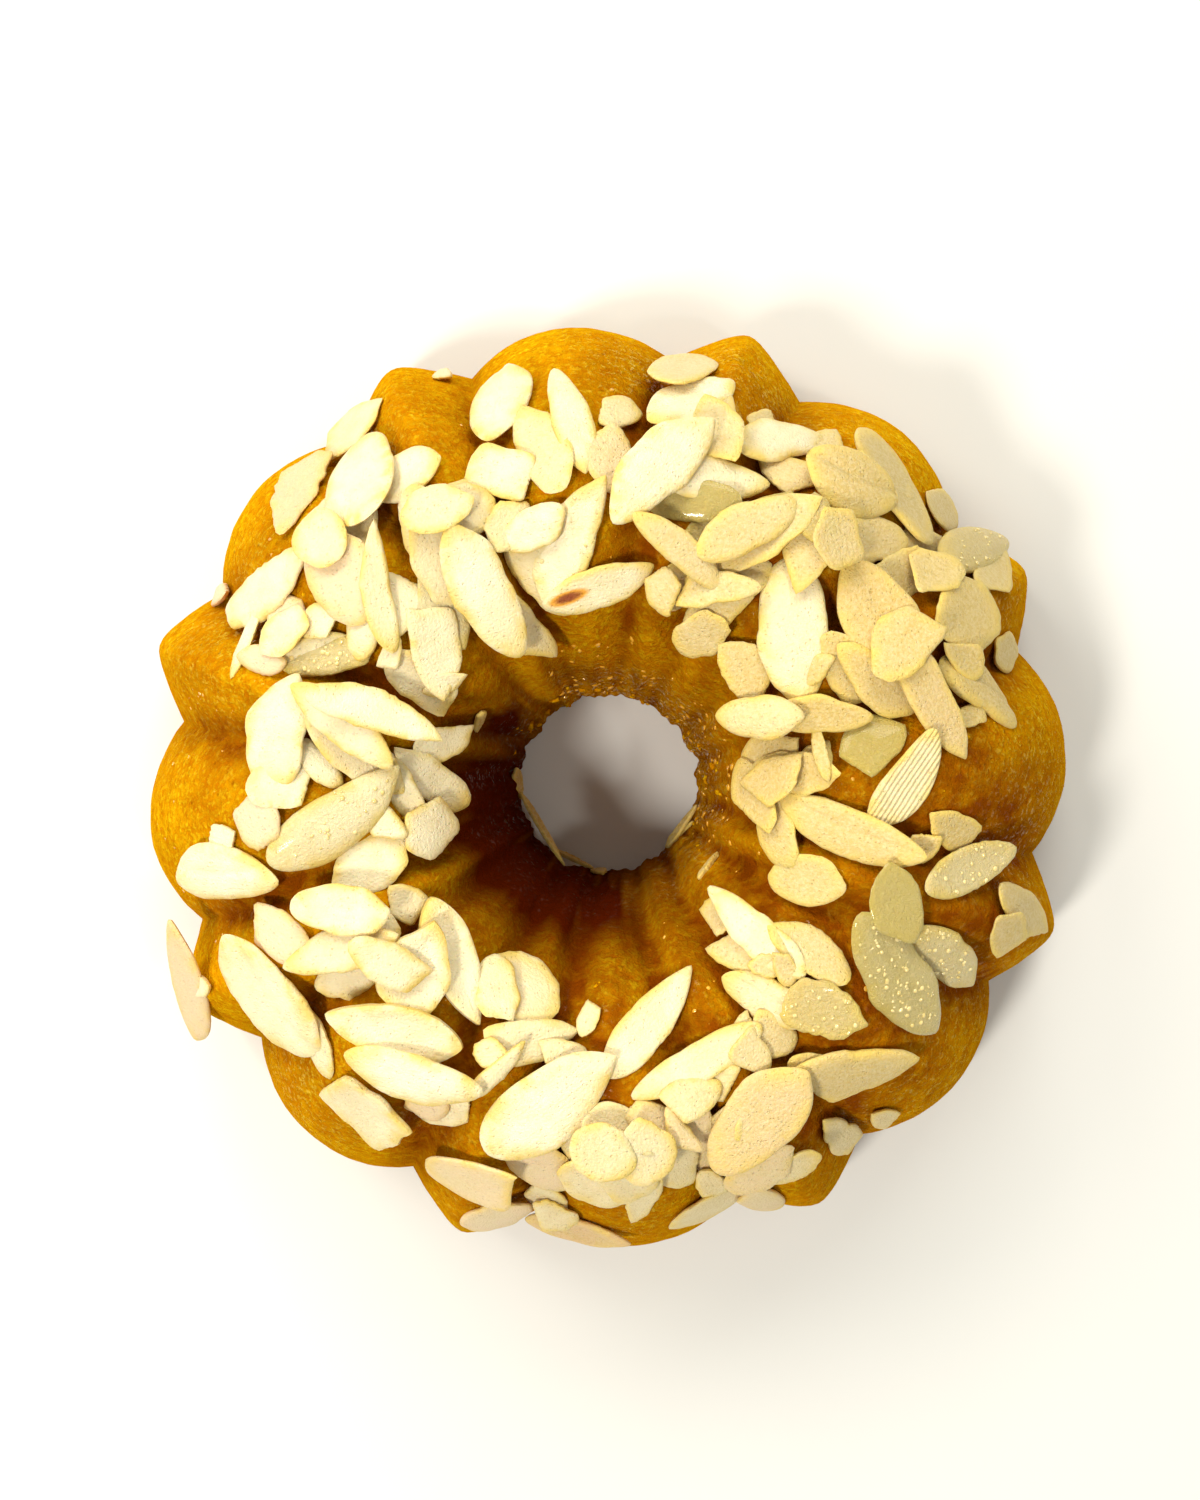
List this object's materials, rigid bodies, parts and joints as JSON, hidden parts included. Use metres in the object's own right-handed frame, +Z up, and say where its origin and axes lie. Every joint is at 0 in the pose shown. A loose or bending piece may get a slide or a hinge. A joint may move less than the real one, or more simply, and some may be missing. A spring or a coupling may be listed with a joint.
{
  "type": "fluted ring cake",
  "caption": "Round ring-shaped sponge cake with rounded lobes and pointed ridges, a hole through the middle and sliced almonds strewn over the crown.",
  "frame": {"origin": "centre of the flat foot the cake stands on, on the axis of the ring", "axes": "+Z up along the ring's axis, +X and +Y across the cake; a pointed ridge stands 27.2 degrees round from +X"},
  "size_m": [0.1874, 0.1874, 0.0828],
  "materials": {
    "golden_crust": "golden baked crust, moist with syrup",
    "sliced_almond": "pale blanched almond, satin"
  },
  "bodies": {
    "root": {"ring_cake": "golden_crust", "almond_slice_01": "sliced_almond", "almond_slice_02": "sliced_almond", "almond_slice_03": "sliced_almond", "almond_slice_04": "sliced_almond", "almond_slice_05": "sliced_almond", "almond_slice_06": "sliced_almond", "almond_slice_07": "sliced_almond", "almond_slice_08": "sliced_almond", "almond_slice_09": "sliced_almond", "almond_slice_10": "sliced_almond", "almond_slice_11": "sliced_almond", "almond_slice_12": "sliced_almond", "almond_slice_13": "sliced_almond", "almond_slice_14": "sliced_almond", "almond_slice_15": "sliced_almond", "almond_slice_16": "sliced_almond", "almond_slice_17": "sliced_almond", "almond_slice_18": "sliced_almond", "almond_slice_19": "sliced_almond", "almond_slice_20": "sliced_almond", "almond_slice_21": "sliced_almond", "almond_slice_22": "sliced_almond", "almond_slice_23": "sliced_almond", "almond_slice_24": "sliced_almond", "almond_slice_25": "sliced_almond", "almond_slice_26": "sliced_almond", "almond_slice_27": "sliced_almond", "almond_slice_28": "sliced_almond", "almond_slice_29": "sliced_almond", "almond_slice_30": "sliced_almond", "almond_slice_31": "sliced_almond", "almond_slice_32": "sliced_almond", "almond_slice_33": "sliced_almond", "almond_slice_34": "sliced_almond", "almond_slice_35": "sliced_almond", "almond_slice_36": "sliced_almond", "almond_slice_37": "sliced_almond", "almond_slice_38": "sliced_almond", "almond_slice_39": "sliced_almond", "almond_slice_40": "sliced_almond", "almond_slice_41": "sliced_almond", "almond_slice_42": "sliced_almond", "almond_slice_43": "sliced_almond", "almond_slice_44": "sliced_almond", "almond_slice_45": "sliced_almond", "almond_slice_46": "sliced_almond", "almond_slice_47": "sliced_almond", "almond_slice_48": "sliced_almond", "almond_slice_49": "sliced_almond", "almond_slice_50": "sliced_almond", "almond_slice_51": "sliced_almond", "almond_slice_52": "sliced_almond", "almond_slice_53": "sliced_almond", "almond_slice_54": "sliced_almond", "almond_slice_55": "sliced_almond", "almond_slice_56": "sliced_almond", "almond_slice_57": "sliced_almond", "almond_slice_58": "sliced_almond", "almond_slice_59": "sliced_almond"}
  },
  "joints": []
}
